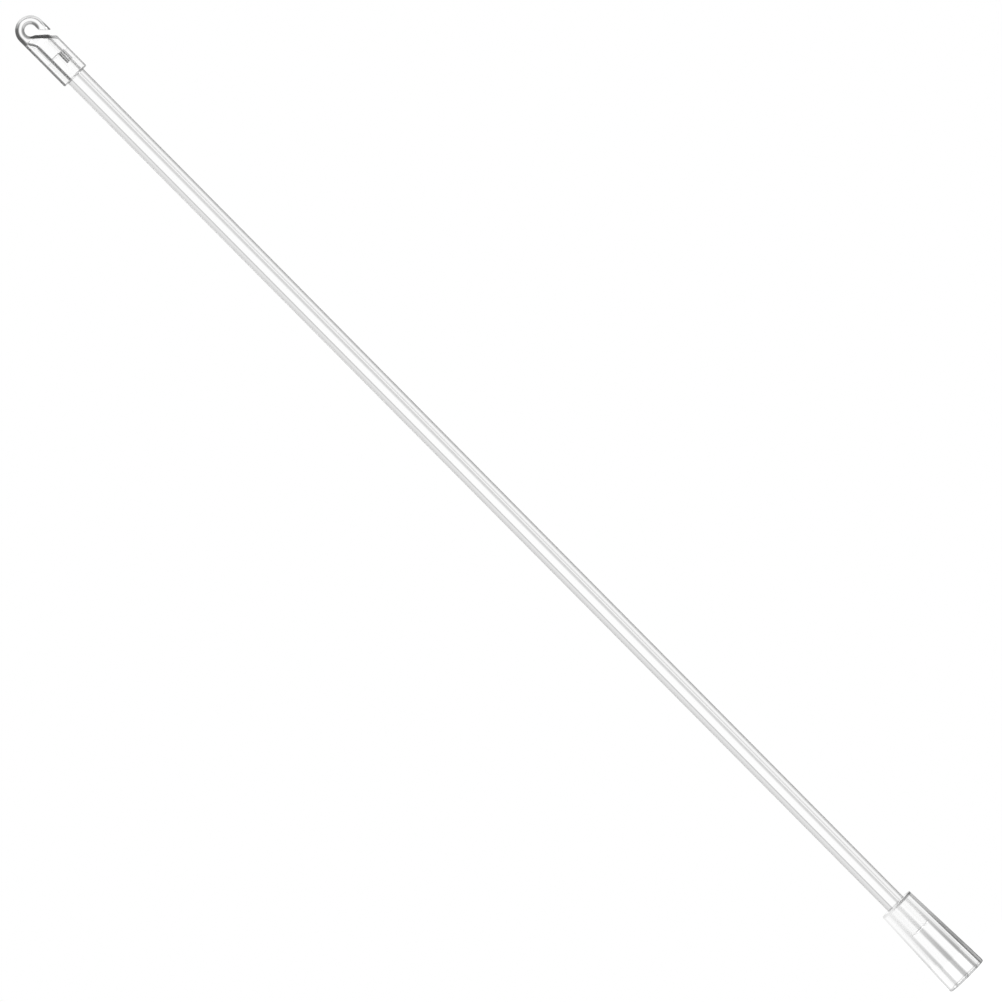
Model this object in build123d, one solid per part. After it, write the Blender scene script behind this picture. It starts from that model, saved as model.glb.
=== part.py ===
from build123d import *
from math import atan, cos, pi, radians, sin, sqrt
import os

# A blind tilt wand: a clear moulded hook, a clear six-sided rod and a clear faceted grip.
# The wand hangs from its hook. The origin is the centre of the hook's eye, +Z runs up through
# the crown of the hook, -Z runs down the rod to the grip, and the hook opens towards +X.
# The axis of the eye is Y, and the front, with the window in the sleeve, faces -Y.
# Sizes are millimetres.

# Whole wand
OVERALL_LENGTH = 508.0

# Rod, an extruded hexagon with flats to the front and back
ROD_CORNERS = 8.0
ROD_EDGE_RADIUS = 0.35
ROD_FLAT_SINK = 0.12
ROD_END_CHAMFER = 0.25

# Hook and its sleeve, moulded in one piece
SLEEVE_CORNERS = 11.6
SLEEVE_EDGE_RADIUS = 0.45
SLEEVE_BOTTOM_Z = -24.2
SLEEVE_MOUTH_ROUND = 0.5
HOOK_THICKNESS = 4.0
EYE_RADIUS = 2.3
EYE_EDGE_ROUND = 1.2
TIP_EDGE_ROUND = 0.2

# Slope from the full thickness of the sleeve down to the thin hook, seen from the side
SHOULDER_FOOT_Z = -6.2
SHOULDER_HEAD_Z = -2.7
SHOULDER_FOOT_ROUND = 4.5
SHOULDER_HEAD_ROUND = 2.0

# Slanting slot into the eye, seen from the front: its lower face is the ramp
RAMP_FROM_CENTRE = 1.8
SLOT_GAP = 2.17
RAMP_CREST_ROUND = 3.0

# Window in the front of the sleeve: its right side slopes, and the ridge beside it is cut back
WINDOW_HEIGHT = 4.9
WINDOW_LEFT = -2.0
WINDOW_SILL = 0.85
WINDOW_RIGHT = 1.7
RIDGE_CUT_END = 3.75

# Sockets that hold the ends of the rod
HOOK_SOCKET_DEPTH = 10.3
GRIP_SOCKET_DEPTH = 13.3
SOCKET_CLEARANCE = 0.04
END_GAP = 0.1
SOCKET_CORNER_RADIUS = 0.3
MOUTH_CHAMFER = 0.4

# End of the sleeve's hollow, beyond the end of the rod
HOLLOW_FROM_RAMP = 1.4
HOLLOW_END_Z = -3.4

# Grip
GRIP_LENGTH = 38.3
GRIP_TOP_RADIUS = 7.4
GRIP_BOTTOM_RADIUS = 8.95
FLUTES = 10
FLUTE_TURN = 11.4
FLUTE_DEPTH_TOP = 0.1
FLUTE_DEPTH_BOTTOM = 0.3
GRIP_TOP_ROUND = 0.5
GRIP_BOTTOM_ROUND = 1.1
RIM_SLACK = 0.1

# Worked out from the sizes above
CORNER_EXCESS = 1 / cos(radians(30)) - 1
CROWN_RADIUS = SLEEVE_CORNERS / 2
HOOK_HALF = HOOK_THICKNESS / 2
GRIP_BOTTOM_Z = CROWN_RADIUS - OVERALL_LENGTH
GRIP_TOP_Z = GRIP_BOTTOM_Z + GRIP_LENGTH
SOCKET_END_Z = SLEEVE_BOTTOM_Z + HOOK_SOCKET_DEPTH
SLEEVE_HALF = (CROWN_RADIUS + CORNER_EXCESS * SLEEVE_EDGE_RADIUS) * cos(radians(30))
HOLLOW_HALF = (ROD_CORNERS / 2 + CORNER_EXCESS * SOCKET_CORNER_RADIUS) * cos(radians(30)) + SOCKET_CLEARANCE
ROD_TOP_Z = SOCKET_END_Z - END_GAP
ROD_BOTTOM_Z = GRIP_TOP_Z - GRIP_SOCKET_DEPTH + END_GAP
RAMP_SUM = -RAMP_FROM_CENTRE * sqrt(2)
TIP_SUM = RAMP_SUM + SLOT_GAP * sqrt(2)

# Larger than the whole hook, for cutting shapes; and the slack used when edges are picked
FAR = 40.0
NEAR = 0.03


def hexagon(corners, edge_radius, growth=0.0):
    """A hexagon with rounded corners: corners is its size over them, growth moves the flats out."""
    sharp = corners / 2 + CORNER_EXCESS * edge_radius + growth / cos(radians(30))
    outline = RegularPolygon(radius=sharp, side_count=6)
    return fillet(outline.vertices(), edge_radius)


def rod_section():
    """The rod's hexagon, with flats that sink a little in the middle, as extruded plastic does."""
    lean = 2 * atan(4 * ROD_FLAT_SINK / ROD_CORNERS)
    sharp = ROD_CORNERS / 2 + ROD_EDGE_RADIUS * (1 / sin(radians(60) - lean) - 1)
    corner = Vector(sharp, 0)
    next_corner = corner.rotate(Axis.Z, 60)
    middle = (corner + next_corner) / 2
    side = ThreePointArc(corner, middle * (1 - ROD_FLAT_SINK / middle.length), next_corner)
    outline = make_face([Rot(0, 0, turn) * side for turn in range(0, 360, 60)])
    return fillet(outline.vertices(), ROD_EDGE_RADIUS)


def rod():
    """The hexagonal rod, cut square, with its cut edges broken."""
    length = ROD_TOP_Z - ROD_BOTTOM_Z
    bar = Pos(0, 0, ROD_BOTTOM_Z) * extrude(rod_section(), length)
    ends = bar.faces().filter_by(Axis.Z)
    return chamfer(ends.edges(), ROD_END_CHAMFER)


def socket(depth):
    """The space of a socket: a hexagon that goes up from a bevelled mouth at the origin."""
    section = hexagon(ROD_CORNERS, SOCKET_CORNER_RADIUS, SOCKET_CLEARANCE)
    bevel = extrude(offset(section, MOUTH_CHAMFER), MOUTH_CHAMFER, taper=45)
    return extrude(section, depth) + bevel


def hook_blank():
    """The sleeve's hexagon carried up to the eye, then turned about the eye to make the crown."""
    section = hexagon(SLEEVE_CORNERS, SLEEVE_EDGE_RADIUS)
    shank = Pos(0, 0, SLEEVE_BOTTOM_Z) * extrude(section, -SLEEVE_BOTTOM_Z)
    right_half = section & Pos(FAR / 2, 0) * Rectangle(FAR, FAR)
    return shank + revolve(right_half, Axis.Y, -180)


def both_sides(half):
    """A half outline seen from the side, mirrored to the front and carried through in X."""
    return extrude(Plane.YZ * (half + mirror(half, Plane.YZ)), FAR, both=True)


def shoulder():
    """Seen from the side: full thickness up to the shoulder, then a smooth slope to the hook."""
    foot = (SLEEVE_HALF, SHOULDER_FOOT_Z)
    head = (HOOK_HALF, SHOULDER_HEAD_Z)
    outline = Polyline((0, -FAR), (SLEEVE_HALF, -FAR), foot, head, (HOOK_HALF, FAR), (0, FAR), close=True)
    half = make_face(outline)
    half = fillet(half.vertices().sort_by_distance(foot)[0], SHOULDER_FOOT_ROUND)
    return both_sides(fillet(half.vertices().sort_by_distance(head)[0], SHOULDER_HEAD_ROUND))


def below_slant(total):
    """Everything on the sleeve's side of the plane where x and z add up to the total."""
    side = Polyline((-FAR, FAR + total), (FAR, total - FAR), (-FAR, total - FAR), close=True)
    return extrude(Plane.XZ * make_face(side), FAR, both=True)


def opening():
    """Seen from the front: the round eye, and the slot at 45 degrees that leads into it."""
    slot = Polyline(
        (0, 0),
        (RAMP_SUM / 2, RAMP_SUM / 2),
        (FAR, RAMP_SUM - FAR),
        (FAR, TIP_SUM - FAR),
        (EYE_RADIUS, TIP_SUM - EYE_RADIUS),
        (EYE_RADIUS, 0),
        close=True,
    )
    outline = make_face(slot) + Circle(EYE_RADIUS)
    crest = outline.vertices().sort_by_distance((0, -EYE_RADIUS))[0]
    return extrude(Plane.XZ * fillet(crest, RAMP_CREST_ROUND), FAR, both=True)


def lies_on(edge, distance):
    """Whether the ends and the middle of an edge are all near distance zero."""
    return all(abs(distance(edge.position_at(part))) < NEAR for part in (0, 0.5, 1))


def round_opening(body):
    """Round the edges of the eye, the ramp and the inside of the tip, then ease the tip's cut end."""
    in_crest = RAMP_CREST_ROUND * sin(radians(30))

    def is_inner(edge):
        middle = edge.position_at(0.5)
        on_eye = lies_on(edge, lambda p: sqrt(p.X**2 + p.Z**2) - EYE_RADIUS)
        on_ramp = lies_on(edge, lambda p: p.X + p.Z - RAMP_SUM) and middle.X < in_crest * 2
        on_tip = lies_on(edge, lambda p: p.X - EYE_RADIUS)
        on_crest = abs(middle.X) < in_crest and -in_crest < middle.Z - RAMP_SUM < in_crest
        return abs(middle.Y) > NEAR and (on_eye or on_ramp or on_tip or on_crest)

    body = fillet(body.edges().filter_by(is_inner), EYE_EDGE_ROUND)
    tip = body.edges().filter_by(lambda edge: lies_on(edge, lambda p: p.X + p.Z - TIP_SUM))
    return fillet(tip, TIP_EDGE_ROUND)


def hollow():
    """The bore of the sleeve: its far end follows the shoulder and the ramp, with an even wall."""
    wall = SLEEVE_HALF - HOLLOW_HALF
    slope = (SHOULDER_HEAD_Z - SHOULDER_FOOT_Z) / (SLEEVE_HALF - HOOK_HALF)
    foot = (HOLLOW_HALF, SHOULDER_FOOT_Z - wall * (sqrt(slope**2 + 1) - slope))
    end_half = HOLLOW_HALF - (HOLLOW_END_Z - foot[1]) / slope
    outline = Polyline(
        (0, -FAR),
        (FAR, -FAR),
        (FAR, SOCKET_END_Z),
        (HOLLOW_HALF, SOCKET_END_Z),
        foot,
        (end_half, HOLLOW_END_Z),
        (0, HOLLOW_END_Z),
        close=True,
    )
    half = make_face(outline)
    half = fillet(half.vertices().sort_by_distance(foot)[0], SHOULDER_FOOT_ROUND - wall)
    bore = Pos(0, 0, SLEEVE_BOTTOM_Z) * socket(-SLEEVE_BOTTOM_Z)
    return bore & both_sides(half) & below_slant(RAMP_SUM - HOLLOW_FROM_RAMP * sqrt(2))


def window():
    """Seen along the sleeve: the window's cut with its sloping side, and the cut on the ridge."""
    ridge_cut_y = -(SLEEVE_HALF / cos(radians(30)) - RIDGE_CUT_END) * sqrt(3)
    cut = Polyline(
        (WINDOW_LEFT, -FAR),
        (WINDOW_LEFT, -HOLLOW_HALF + NEAR),
        (WINDOW_SILL, -HOLLOW_HALF + NEAR),
        (WINDOW_RIGHT, -SLEEVE_HALF),
        (RIDGE_CUT_END, ridge_cut_y),
        (FAR, -FAR),
        close=True,
    )
    return Pos(0, 0, SOCKET_END_Z - WINDOW_HEIGHT) * extrude(make_face(cut), WINDOW_HEIGHT)


def hook_tip():
    """The hook and its sleeve: a thin open hook that grows out of a hollow hexagonal sleeve."""
    blank = hook_blank()
    sleeve = blank & shoulder() & below_slant((RAMP_SUM + TIP_SUM) / 2)
    thin_hook = blank & Box(FAR, HOOK_THICKNESS, FAR * 2)
    body = round_opening(sleeve + thin_hook - opening())
    mouth = body.edges().filter_by(lambda edge: lies_on(edge, lambda p: p.Z - SLEEVE_BOTTOM_Z))
    body = fillet(mouth, SLEEVE_MOUTH_ROUND)
    return body - hollow() - window()


def grip_section(radius, depth):
    """A ring of shallow hollows: the ridges between them stand on the radius."""
    step = 2 * pi / FLUTES
    turn = radians(FLUTE_TURN)
    valley = radius * cos(step / 2) - depth
    arcs = []
    for flute in range(FLUTES):
        start = turn + flute * step
        ends = [(radius * cos(a), radius * sin(a)) for a in (start, start + step)]
        middle = (valley * cos(start + step / 2), valley * sin(start + step / 2))
        arcs.append(ThreePointArc(ends[0], middle, ends[1]))
    return make_face(arcs)


def grip_envelope():
    """The turned shape that rounds the rims of the grip and stays clear of its sides."""
    foot = (GRIP_BOTTOM_RADIUS + RIM_SLACK, 0)
    head = (GRIP_TOP_RADIUS + RIM_SLACK, GRIP_LENGTH)
    half = make_face(Polyline((0, 0), foot, head, (0, GRIP_LENGTH), close=True))
    half = fillet(half.vertices().sort_by_distance(foot)[0], GRIP_BOTTOM_ROUND)
    half = fillet(half.vertices().sort_by_distance(head)[0], GRIP_TOP_ROUND)
    return revolve(Plane.XZ * half, Axis.Z)


def grip():
    """The grip: a fluted taper with rounded rims and a socket in its narrow end."""
    wide_end = grip_section(GRIP_BOTTOM_RADIUS, FLUTE_DEPTH_BOTTOM)
    narrow_end = Pos(0, 0, GRIP_LENGTH) * grip_section(GRIP_TOP_RADIUS, FLUTE_DEPTH_TOP)
    body = loft([wide_end, narrow_end], ruled=True) & grip_envelope()
    hole = Pos(0, 0, GRIP_LENGTH) * Rot(180, 0, 0) * socket(GRIP_SOCKET_DEPTH)
    return Pos(0, 0, GRIP_BOTTOM_Z) * (body - hole)


def main():
    os.makedirs("parts", exist_ok=True)
    for name, piece in (("hook_tip", hook_tip()), ("rod", rod()), ("grip", grip())):
        export_step(piece, f"parts/{name}.step")


main()
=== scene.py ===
from math import cos, pi, radians, sin

import bpy
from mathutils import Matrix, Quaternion, Vector


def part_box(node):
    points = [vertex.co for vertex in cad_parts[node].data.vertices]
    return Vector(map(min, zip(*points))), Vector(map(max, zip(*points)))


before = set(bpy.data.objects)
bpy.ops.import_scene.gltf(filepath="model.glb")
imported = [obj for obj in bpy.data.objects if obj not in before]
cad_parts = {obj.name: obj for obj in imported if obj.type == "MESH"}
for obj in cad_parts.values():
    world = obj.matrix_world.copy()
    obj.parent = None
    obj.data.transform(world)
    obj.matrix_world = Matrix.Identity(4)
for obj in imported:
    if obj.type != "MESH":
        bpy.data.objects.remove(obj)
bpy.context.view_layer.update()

# Camera: a long lens that looks level at the middle of the wand, rolled so that the wand lies on the diagonal
VIEW_WIDTH = 0.378
VIEW_DISTANCE = 3.5
VIEW_AZIMUTH = radians(-4.7)
VIEW_ROLL = radians(44.73)
AIM = Vector((0.0012, 0.0, -0.2510))
SENSOR_WIDTH = 36.0
CLIP_END = 50.0

# Studio: white with soft strips, and at a lower level for diffuse light. The strips are pairs of degrees from
# the front towards the side, and a grey. They span half a turn, and the other half of the room is the same.
DIFFUSE_LEVEL = 0.75
STRIPS = (
    (-90.0, 1.0),
    (-55.0, 1.0),
    (-45.0, 0.9),
    (-35.0, 1.0),
    (30.0, 1.0),
    (42.0, 0.94),
    (60.0, 1.0),
    (90.0, 1.0),
)

# Floor
FLOOR_Z = -0.56
FLOOR_HALF = 0.9
FLOOR_GREY = 0.8
FLOOR_GLOW = 0.4

# Lamps: place, size and power
LAMPS = {
    "key": ((-1.6, -2.2, 1.5), 1.6, 14.0),
    "fill": ((2.0, -1.4, 0.6), 1.8, 7.0),
    "rim": ((0.4, 2.2, 1.2), 1.6, 7.0),
}

# Clear plastic: painted shade greys it from where it faces the eye to where it glances, and its roughness
# follows noise
DENSE_IOR = 1.49
LIGHT_IOR = 1.06
LIGHT_COAT = 0.5
SPECULAR = 0.2
DARKEST = 0.004
FACING_BLEND = 0.5
FACING_TONES = ((0.0, 0.99), (0.6, 0.97), (0.72, 0.8), (0.85, 0.35), (1.0, 0.05))
NOISE_DETAIL = 3.0
NOISE_RANGE = (0.3, 0.7)
SMOOTHEST = 0.02
ROUGHEST = 0.05
BUMP_STRENGTH = 1.0

# Surfaces: waves of the noise along each axis, its scale, and the height of its bumps in metres
MOULDED = {"waves": (1.0, 1.0, 0.5), "grain": 160.0, "height": 0.00001}
DRAWN = {"waves": (1.0, 1.0, 0.01), "grain": 900.0, "height": 0.000004}
POLISHED = {"waves": (1.0, 1.0, 0.3), "grain": 160.0, "height": 0.000004}

# Bounces: enough for light that runs up inside the rod
BOUNCES = 64

# Ends of the pieces, in millimetres in the frame of the CAD
MILLIMETRES = 1000.0
MOUTH_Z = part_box("hook_tip")[0].z * MILLIMETRES
ROD_BOTTOM_Z, ROD_TOP_Z = (corner.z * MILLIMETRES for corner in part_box("rod"))
GRIP_BOTTOM_Z, GRIP_TOP_Z = (corner.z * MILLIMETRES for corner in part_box("grip"))

# Inside of the sleeve: half the socket's width across flats, and the top of the hollow above it
SOCKET_HALF = 3.62
HOLLOW_END_Z = -3.4

# Direction in which the hexagon's slanted flats face, from X towards Y
HEXAGON_LEAN = radians(30)

# Width of the soft edge around an outside or a bare stretch
SOFT = 0.2

# Marks of painted shade: each is dark where all of its soft steps hold. A step names the measure that it
# follows, then its start and end along it, then its levels there, if they aren't 0 and 1. Lengths are in
# millimetres.

# Shoulder between sleeve and hook: the heights of its foot and head, then its depth at both
SHOULDER = (-6.2, -2.7, 5.08, 2.0)

# Painted shade along the ridge of the sleeve, faded on the back and to the right, and going up, where it runs
# on around the crown
HOOK_RIDGE = (
    ("slant", 4.4, 4.8),
    ("past_shoulder", -0.85, -0.35),
    ("x", 2.0, -2.0, 0.2, 0.52),
    ("y", 1.0, -1.0, 0.25, 1.0),
)
RIDGE_UP_TO_CROWN = (-4.5, -2.5)
RIDGE_ON_CROWN = (0.0, -3.0, 0.0, 0.8)
SLEEVE_RIDGE = (("z", -2.0, -3.5),)
CROWN_RIDGE = (("around_crown", 4.15, 4.7),)

# Painted shade along the outline of the hook and sleeve as seen from the front, in four strengths, and as
# seen from the side
TURNED_AWAY = (("glancing", 0.2, 0.42),)
OUTLINE = (("around_crown", 4.65, 5.1), ("depth", 1.8, 1.1))
OUTLINE_SHADES = (
    (("x", 0.5, -4.0, 0.1, 0.55),),
    (("x", 4.3, 4.9), ("z", 1.0, -4.5, 0.0, 0.8), ("z", -6.2, -5.6)),
    (("z", -5.6, -6.2, 0.0, 0.25),),
    (("z", 1.0, 3.0, 0.0, 0.15),),
)
SIDE_EDGE = (
    ("slant", 4.8, 4.95),
    ("depth", 0.6, 1.4),
    ("depth", 1.65, 1.5),
    ("glancing", 0.42, 0.2),
    ("z", -3.5, -2.5, 0.0, 0.35),
)

# Painted shade on the darkest stretch of the crown, which lies this far round from the top towards -X
DARK_STRETCH_TURN = radians(82)
DARK_STRETCH = (("around_crown", 4.5, 5.0), ("in_dark_stretch", 0.55, 0.85), ("z", -3.8, -2.6))

# Painted shade around the eye of the hook, with a strength above and one below that grows to the right
EYE = (("from_eye", 3.7, 2.75), ("depth", 0.5, 1.2))
EYE_DOWN = (1.5, -0.5)
EYE_SHADE_ABOVE = 0.52
EYE_SHADE_BELOW = (0.0, 2.0, 0.44, 0.68)

# Painted shade along the ramp under the hook's slot, on the front face alone
RAMP_LEAN = radians(45)
RAMP_FROM_EYE = 1.8
RAMP = (
    ("below_ramp", 1.7, 1.3),
    ("below_ramp", 0.05, 0.25),
    ("x", -2.6, -1.8),
    ("y", -0.8, -1.6),
    ("x", 4.0, 3.0, 0.3, 1.05),
)

# Painted shade lines at the mouth and window of the sleeve, and at the end of the rod behind the window
MOUTH = (("z", MOUTH_Z + 0.5, MOUTH_Z + 0.2), ("x", -4.0, 4.0, 0.25, 0.6))
FRONT_WALL = ("y", -3.2, -3.4)
WINDOW = (("z", ROD_TOP_Z - 5.0, ROD_TOP_Z - 4.7), ("z", ROD_TOP_Z + 0.2, ROD_TOP_Z), FRONT_WALL)
WINDOW_SILL = (*WINDOW, ("x", 0.7, 0.95), ("x", 2.1, 1.8, 0.0, 0.3))
WINDOW_CUT = (*WINDOW, ("x", 1.5, 1.7), ("x", 4.0, 3.6, 0.0, 0.12))
ROD_TOP_LINE = (
    ("z", ROD_TOP_Z - 0.3, ROD_TOP_Z - 0.1),
    ("z", ROD_TOP_Z + 0.4, ROD_TOP_Z + 0.2),
    FRONT_WALL,
    ("x", -2.4, -2.1),
    ("x", 1.4, 1.0, 0.0, 0.25),
)

# Painted shade in bands along the rod where it is bare, and at its bottom end
ROD_BARE = (("z", MOUTH_Z + SOFT, MOUTH_Z), ("z", GRIP_TOP_Z - SOFT, GRIP_TOP_Z))
ROD_LEFT = (-2.0, -4.0, 0.0, 0.18)
ROD_RIGHT = (("x", 3.2, 3.6, 0.0, 0.25),)
ROD_BACK = (("x", 0.2, 1.2), ("x", 2.0, 1.5), ("y", 2.8, 3.2, 0.0, 0.16))
ROD_BOTTOM = (("z", ROD_BOTTOM_Z + 0.5, ROD_BOTTOM_Z + 0.3, 0.0, 0.06),)

# Outside of the grip, and painted shade at the ridges between its flutes, heavier on its side towards +X, and
# at its rims
RIDGES = 10
RIDGE_TURN = radians(13.0)
GRIP_OUTSIDE = (("radius", 5.2, 5.8), ("z", GRIP_BOTTOM_Z + 0.02, GRIP_BOTTOM_Z + 0.15))
GRIP_SHADES_DOWN = (0.1, 0.29)
GRIP_DOWN = (GRIP_TOP_Z, GRIP_BOTTOM_Z + 8.0, *GRIP_SHADES_DOWN)
GRIP_RIDGES = (("wave", 0.1, 1.0), ("y", 1.0, -1.0, 0.3, 1.0), ("x", -7.0, 7.0, 0.45, 1.15))
GRIP_SHADED_SIDE = (
    ("to_right", 0.78, 0.86),
    ("down", *GRIP_SHADES_DOWN, 0.5, 1.2),
    ("glancing", 0.35, 0.6),
)
GRIP_LOWER_RIM = (("z", GRIP_BOTTOM_Z + 1.0, GRIP_BOTTOM_Z + 0.2, 0.0, 0.15),)
GRIP_UPPER_RIM = (("z", GRIP_TOP_Z - 1.1, GRIP_TOP_Z - 0.6), ("x", -4.0, 3.0, 0.05, 0.35))


class Net:
    """The nodes of a material or world, with sums and soft steps for working out where a mark lies."""

    def __init__(self, owner, shader="Principled BSDF"):
        owner.use_nodes = True
        self.nodes = owner.node_tree.nodes
        self.links = owner.node_tree.links
        self.shader = self.nodes[shader]

    def put(self, socket, value):
        """Give a socket a number, or a link from another socket."""
        if isinstance(value, (int, float)):
            socket.default_value = value
        else:
            self.links.new(value, socket)

    def math(self, operation, *values):
        """The result of a maths node."""
        node = self.nodes.new("ShaderNodeMath")
        node.operation = operation
        for socket, value in zip(node.inputs, values):
            self.put(socket, value)
        return node.outputs[0]

    def step(self, value, start, end, low=0.0, high=1.0, shape="SMOOTHSTEP"):
        """A soft step from low at start to high at end."""
        node = self.nodes.new("ShaderNodeMapRange")
        node.interpolation_type = shape
        names = ("Value", "From Min", "From Max", "To Min", "To Max")
        for name, number in zip(names, (value, start, end, low, high)):
            self.put(node.inputs[name], number)
        return node.outputs[0]

    def all(self, *masks):
        """Where all the masks hold."""
        result = masks[0]
        for mask in masks[1:]:
            result = self.math("MULTIPLY", result, mask)
        return result

    def any(self, *masks):
        """Where at least one of the masks holds."""
        result = masks[0]
        for mask in masks[1:]:
            result = self.math("MAXIMUM", result, mask)
        return result

    def mark(self, measures, steps):
        """Where all the soft steps of a mark hold."""
        return self.all(*(self.step(measures[name], *numbers) for name, *numbers in steps))

    def length(self, a, b):
        """The length of the line to (a, b)."""
        squares = (self.math("MULTIPLY", a, a), self.math("MULTIPLY", b, b))
        return self.math("SQRT", self.math("ADD", *squares))

    def along(self, a, b, angle):
        """How far (a, b) reaches in the direction that leans by angle from a towards b."""
        parts = (self.math("MULTIPLY", a, cos(angle)), self.math("MULTIPLY", b, sin(angle)))
        return self.math("ADD", *parts)

    def place(self):
        """The point's place on the object, in millimetres."""
        coords = self.nodes.new("ShaderNodeTexCoord")
        scale = self.nodes.new("ShaderNodeVectorMath")
        scale.operation = "SCALE"
        scale.inputs["Scale"].default_value = MILLIMETRES
        parts = self.nodes.new("ShaderNodeSeparateXYZ")
        self.links.new(coords.outputs["Object"], scale.inputs[0])
        self.links.new(scale.outputs[0], parts.inputs[0])
        return parts.outputs

    def glancing(self):
        """How far the surface turns away from the eye: 0 is square to it."""
        weight = self.nodes.new("ShaderNodeLayerWeight")
        weight.inputs["Blend"].default_value = FACING_BLEND
        return weight.outputs["Facing"]

    def noise(self, stretch, scale):
        """Noise on the object, with stretch as its number of waves along each axis against scale."""
        coords = self.nodes.new("ShaderNodeTexCoord")
        mapping = self.nodes.new("ShaderNodeMapping")
        mapping.inputs["Scale"].default_value = stretch
        noise = self.nodes.new("ShaderNodeTexNoise")
        noise.inputs["Scale"].default_value = scale
        noise.inputs["Detail"].default_value = NOISE_DETAIL
        self.links.new(coords.outputs["Object"], mapping.inputs["Vector"])
        self.links.new(mapping.outputs[0], noise.inputs["Vector"])
        return noise.outputs["Fac"]

    def greys(self, value, tones):
        """The grey for a value, from pairs of value and grey that go up."""
        ramp = self.nodes.new("ShaderNodeValToRGB")
        elements = ramp.color_ramp.elements
        for index, (place, grey) in enumerate(tones):
            element = elements[index] if index < len(elements) else elements.new(place)
            element.position = place
            element.color = (grey, grey, grey, 1.0)
        self.links.new(value, ramp.inputs["Fac"])
        return ramp.outputs["Color"]


def clear_plastic(name, painted_shade, ior, waves, grain, height, coat=0.0):
    """Clear plastic: the function that it is given yields its lines of painted shade and its outside, and
    noise its moulded or drawn surface.
    """
    material = bpy.data.materials.new(name)
    net = Net(material)
    shader = net.shader
    shader.inputs["Transmission Weight"].default_value = 1.0
    shader.inputs["IOR"].default_value = ior
    shader.inputs["Specular IOR Level"].default_value = SPECULAR
    shader.inputs["Coat Weight"].default_value = coat
    mask, outside = painted_shade(net)
    # Painted shade: the colour greys where the outside glances away from the eye
    facing_tone = net.greys(net.glancing(), FACING_TONES)
    painted_edge_shade = net.all(net.math("SUBTRACT", 1.0, facing_tone), outside)
    # Painted shade: the colour darkens towards DARKEST along the painted shade lines
    tone = net.all(net.math("SUBTRACT", 1.0, painted_edge_shade), net.math("POWER", DARKEST, mask))
    net.links.new(tone, shader.inputs["Base Color"])
    surface = net.noise(waves, grain)
    net.links.new(net.step(surface, *NOISE_RANGE, SMOOTHEST, ROUGHEST), shader.inputs["Roughness"])
    bump = net.nodes.new("ShaderNodeBump")
    bump.inputs["Strength"].default_value = BUMP_STRENGTH
    bump.inputs["Distance"].default_value = height
    net.links.new(net.all(surface, outside), bump.inputs["Height"])
    net.links.new(bump.outputs[0], shader.inputs["Normal"])
    return material


def hook_measures(net):
    """What the marks of the hook and its sleeve follow. around_crown is round only above the eye's centre."""
    x, y, z = net.place()
    depth = net.math("ABSOLUTE", y)
    from_eye = net.length(x, z)
    around_crown = net.length(x, net.math("MAXIMUM", z, 0.0))
    shoulder = net.step(z, *SHOULDER, "LINEAR")
    to_dark_stretch = net.along(z, net.math("MULTIPLY", x, -1.0), DARK_STRETCH_TURN)
    return {
        "x": x,
        "y": y,
        "z": z,
        "depth": depth,
        "from_eye": from_eye,
        "around_crown": around_crown,
        "slant": net.along(around_crown, depth, HEXAGON_LEAN),
        "past_shoulder": net.math("SUBTRACT", depth, shoulder),
        "in_dark_stretch": net.math("DIVIDE", to_dark_stretch, from_eye),
        "below_ramp": net.math("MULTIPLY_ADD", net.math("ADD", x, z), -cos(RAMP_LEAN), -RAMP_FROM_EYE),
        "glancing": net.glancing(),
    }


def hook_painted_shade(net):
    """Painted shade lines at the ridges, outline, eye, ramp, mouth and window of the hook and its sleeve."""
    measures = hook_measures(net)
    x, z = measures["x"], measures["z"]
    # Painted shade: dark lines at the ridges, outline, crown, eye, ramp, mouth and window
    ridge = net.all(
        net.mark(measures, HOOK_RIDGE),
        net.step(z, *RIDGE_UP_TO_CROWN, 1.0, net.step(x, *RIDGE_ON_CROWN)),
        net.any(net.mark(measures, SLEEVE_RIDGE), net.mark(measures, CROWN_RIDGE)),
    )
    turned_away = net.mark(measures, TURNED_AWAY)
    outline_shade = net.any(*(net.mark(measures, tone) for tone in OUTLINE_SHADES))
    outline = net.all(net.mark(measures, OUTLINE), outline_shade, turned_away)
    dark_stretch = net.all(net.mark(measures, DARK_STRETCH), turned_away)
    eye_shade = net.step(z, *EYE_DOWN, EYE_SHADE_ABOVE, net.step(x, *EYE_SHADE_BELOW))
    eye = net.all(net.mark(measures, EYE), eye_shade)
    even_shade_lines = (SIDE_EDGE, RAMP, MOUTH, WINDOW_SILL, WINDOW_CUT, ROD_TOP_LINE)
    others = [net.mark(measures, steps) for steps in even_shade_lines]
    return net.any(ridge, outline, dark_stretch, eye, *others), hook_outside(net, measures)


def hook_outside(net, measures):
    """All of the hook and sleeve but the walls of the socket and of the hollow above it."""
    side = net.along(net.math("ABSOLUTE", measures["x"]), measures["depth"], HEXAGON_LEAN)
    from_axis = net.any(side, measures["depth"])
    past_socket = net.step(from_axis, SOCKET_HALF, SOCKET_HALF + SOFT)
    above_hollow = net.step(measures["z"], HOLLOW_END_Z, HOLLOW_END_Z + SOFT)
    return net.any(past_socket, above_hollow)


def rod_painted_shade(net):
    """Soft bands of painted shade along the rod, only where it lies outside its sockets, and at its bottom
    end.
    """
    x, y, z = net.place()
    measures = {"x": x, "y": y, "z": z}
    bare = net.mark(measures, ROD_BARE)
    left = net.step(x, *ROD_LEFT, "LINEAR")
    # Painted shade: bands down the rod, heaviest towards -X
    shade_bands = net.any(left, net.mark(measures, ROD_RIGHT), net.mark(measures, ROD_BACK))
    return net.any(net.all(shade_bands, bare), net.mark(measures, ROD_BOTTOM)), bare


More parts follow.
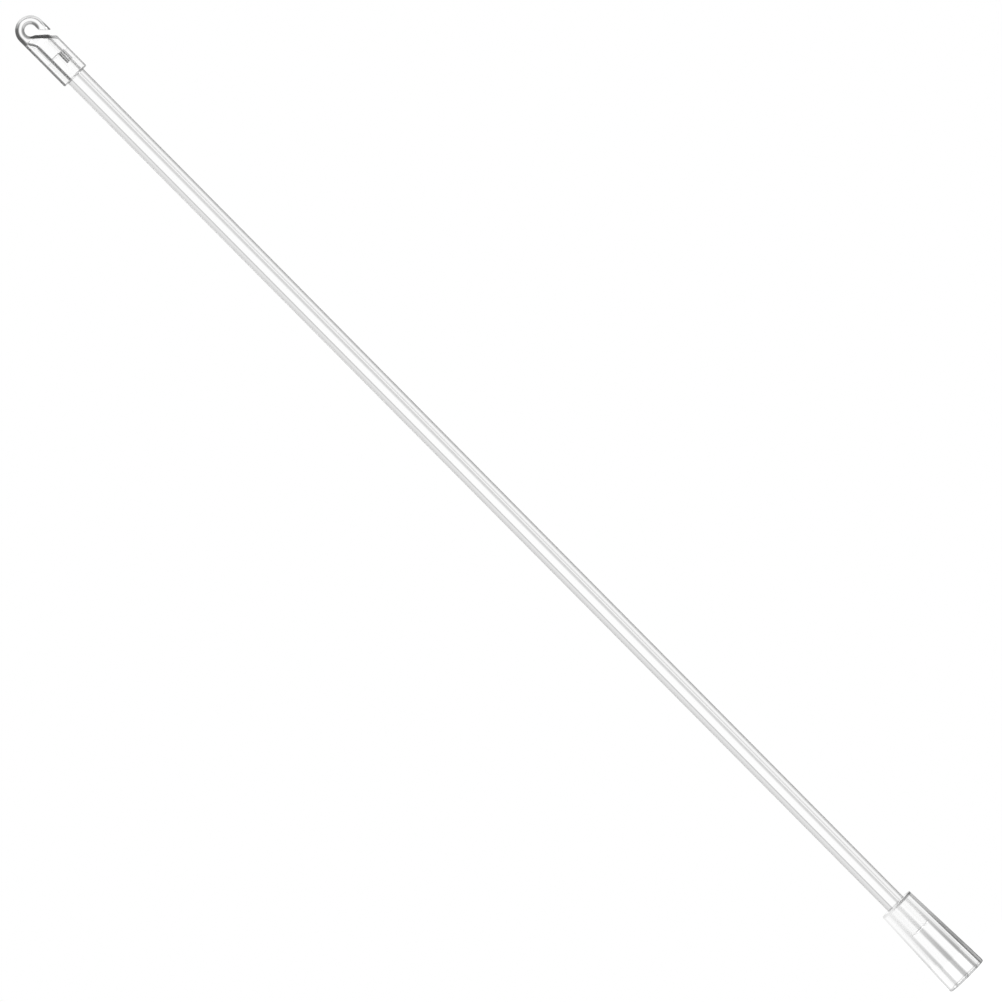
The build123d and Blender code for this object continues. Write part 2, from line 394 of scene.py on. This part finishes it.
def grip_painted_shade(net):
    """Painted shade at the ridges between the grip's flutes, heavier on its side towards +X, and at its rims.
    """
    x, y, z = net.place()
    radius = net.length(x, y)
    turn = net.math("SUBTRACT", net.math("ARCTAN2", y, x), RIDGE_TURN)
    down = net.step(z, *GRIP_DOWN)
    measures = {
        "x": x,
        "y": y,
        "z": z,
        "radius": radius,
        "to_right": net.math("DIVIDE", x, radius),
        "wave": net.math("COSINE", net.math("MULTIPLY", turn, RIDGES)),
        "down": down,
        "glancing": net.glancing(),
    }
    # Painted shade: dark lines at the ridges, on the +X edge and at the rims
    ridges = net.all(net.mark(measures, GRIP_RIDGES), down)
    others = [net.mark(measures, steps) for steps in (GRIP_SHADED_SIDE, GRIP_LOWER_RIM, GRIP_UPPER_RIM)]
    outside = net.mark(measures, GRIP_OUTSIDE)
    return net.all(net.any(ridges, *others), outside), outside


def turn_to(thing, direction, roll=0.0):
    """Turn a camera or lamp to look along a direction, level but for its roll."""
    thing.rotation_mode = "QUATERNION"
    thing.rotation_quaternion = direction.to_track_quat("-Z", "Y") @ Quaternion((0.0, 0.0, 1.0), roll)


def make_camera():
    """The photograph's camera, with the wand's hook at the upper left."""
    data = bpy.data.cameras.new("camera")
    data.sensor_width = SENSOR_WIDTH
    data.lens = SENSOR_WIDTH * VIEW_DISTANCE / VIEW_WIDTH
    data.clip_end = CLIP_END
    camera = bpy.data.objects.new("camera", data)
    bpy.context.scene.collection.objects.link(camera)
    back = Vector((sin(VIEW_AZIMUTH), -cos(VIEW_AZIMUTH), 0.0))
    camera.location = AIM + back * VIEW_DISTANCE
    turn_to(camera, -back, -VIEW_ROLL)
    bpy.context.scene.camera = camera


def make_world():
    """White to the camera, white with soft strips to other rays, and at a lower level to diffuse ones."""
    world = bpy.data.worlds.new("studio")
    bpy.context.scene.world = world
    net = Net(world, "Background")
    coords = net.nodes.new("ShaderNodeTexCoord")
    parts = net.nodes.new("ShaderNodeSeparateXYZ")
    net.links.new(coords.outputs["Generated"], parts.inputs[0])
    turn = net.math("ARCTAN2", parts.outputs["X"], parts.outputs["Y"])
    half_turns = net.math("FLOORED_MODULO", net.math("MULTIPLY_ADD", turn, 1.0 / pi, 0.5), 1.0)
    first, last = STRIPS[0][0], STRIPS[-1][0]
    strips = net.greys(half_turns, [((angle - first) / (last - first), grey) for angle, grey in STRIPS])
    path = net.nodes.new("ShaderNodeLightPath")
    lit = net.step(path.outputs["Is Diffuse Ray"], 0.0, 1.0, 1.0, DIFFUSE_LEVEL, "LINEAR")
    tone = net.math("MULTIPLY", strips, lit)
    net.links.new(net.any(tone, path.outputs["Is Camera Ray"]), net.shader.inputs["Color"])


def make_lamps():
    """Large soft lamps at a plain level, all aimed at the middle of the wand."""
    for name, (place, size, power) in LAMPS.items():
        data = bpy.data.lights.new(name, "AREA")
        data.shape = "DISK"
        data.size = size
        data.energy = power
        lamp = bpy.data.objects.new(name, data)
        bpy.context.scene.collection.objects.link(lamp)
        lamp.location = place
        turn_to(lamp, AIM - Vector(place))


def floor_material():
    """Pale, with a glow for the camera and for mirrored and bent rays, and see-through from below."""
    material = bpy.data.materials.new("floor")
    net = Net(material)
    net.nodes.remove(net.shader)
    diffuse = net.nodes.new("ShaderNodeBsdfDiffuse")
    diffuse.inputs["Color"].default_value = (FLOOR_GREY, FLOOR_GREY, FLOOR_GREY, 1.0)
    path = net.nodes.new("ShaderNodeLightPath")
    seen = net.any(*(path.outputs[f"Is {kind} Ray"] for kind in ("Camera", "Glossy", "Transmission")))
    glow = net.nodes.new("ShaderNodeEmission")
    net.links.new(net.math("MULTIPLY", seen, FLOOR_GLOW), glow.inputs["Strength"])
    glowing = net.nodes.new("ShaderNodeAddShader")
    net.links.new(diffuse.outputs[0], glowing.inputs[0])
    net.links.new(glow.outputs[0], glowing.inputs[1])
    see_through = net.nodes.new("ShaderNodeBsdfTransparent")
    geometry = net.nodes.new("ShaderNodeNewGeometry")
    surface = net.nodes.new("ShaderNodeMixShader")
    net.links.new(geometry.outputs["Backfacing"], surface.inputs[0])
    net.links.new(glowing.outputs[0], surface.inputs[1])
    net.links.new(see_through.outputs[0], surface.inputs[2])
    net.links.new(surface.outputs[0], net.nodes["Material Output"].inputs["Surface"])
    return material


def make_floor():
    """A plain floor under the hanging wand."""
    corners = [(-1, -1), (1, -1), (1, 1), (-1, 1)]
    mesh = bpy.data.meshes.new("floor")
    mesh.from_pydata([(x * FLOOR_HALF, y * FLOOR_HALF, FLOOR_Z) for x, y in corners], [], [(0, 1, 2, 3)])
    mesh.materials.append(floor_material())
    floor = bpy.data.objects.new("floor", mesh)
    bpy.context.scene.collection.objects.link(floor)


def dress(node, material):
    """Give a CAD node its material."""
    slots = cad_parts[node].data.materials
    slots.clear()
    slots.append(material)


make_camera()
make_world()
make_lamps()
make_floor()
dress("hook_tip", clear_plastic("clear_hook", hook_painted_shade, DENSE_IOR, **MOULDED))
dress("rod", clear_plastic("clear_rod", rod_painted_shade, DENSE_IOR, **DRAWN))
dress("grip", clear_plastic("clear_grip", grip_painted_shade, LIGHT_IOR, **POLISHED, coat=LIGHT_COAT))

scene = bpy.context.scene
scene.view_settings.view_transform = "Standard"
scene.cycles.max_bounces = BOUNCES
scene.cycles.transmission_bounces = BOUNCES
scene.cycles.glossy_bounces = BOUNCES
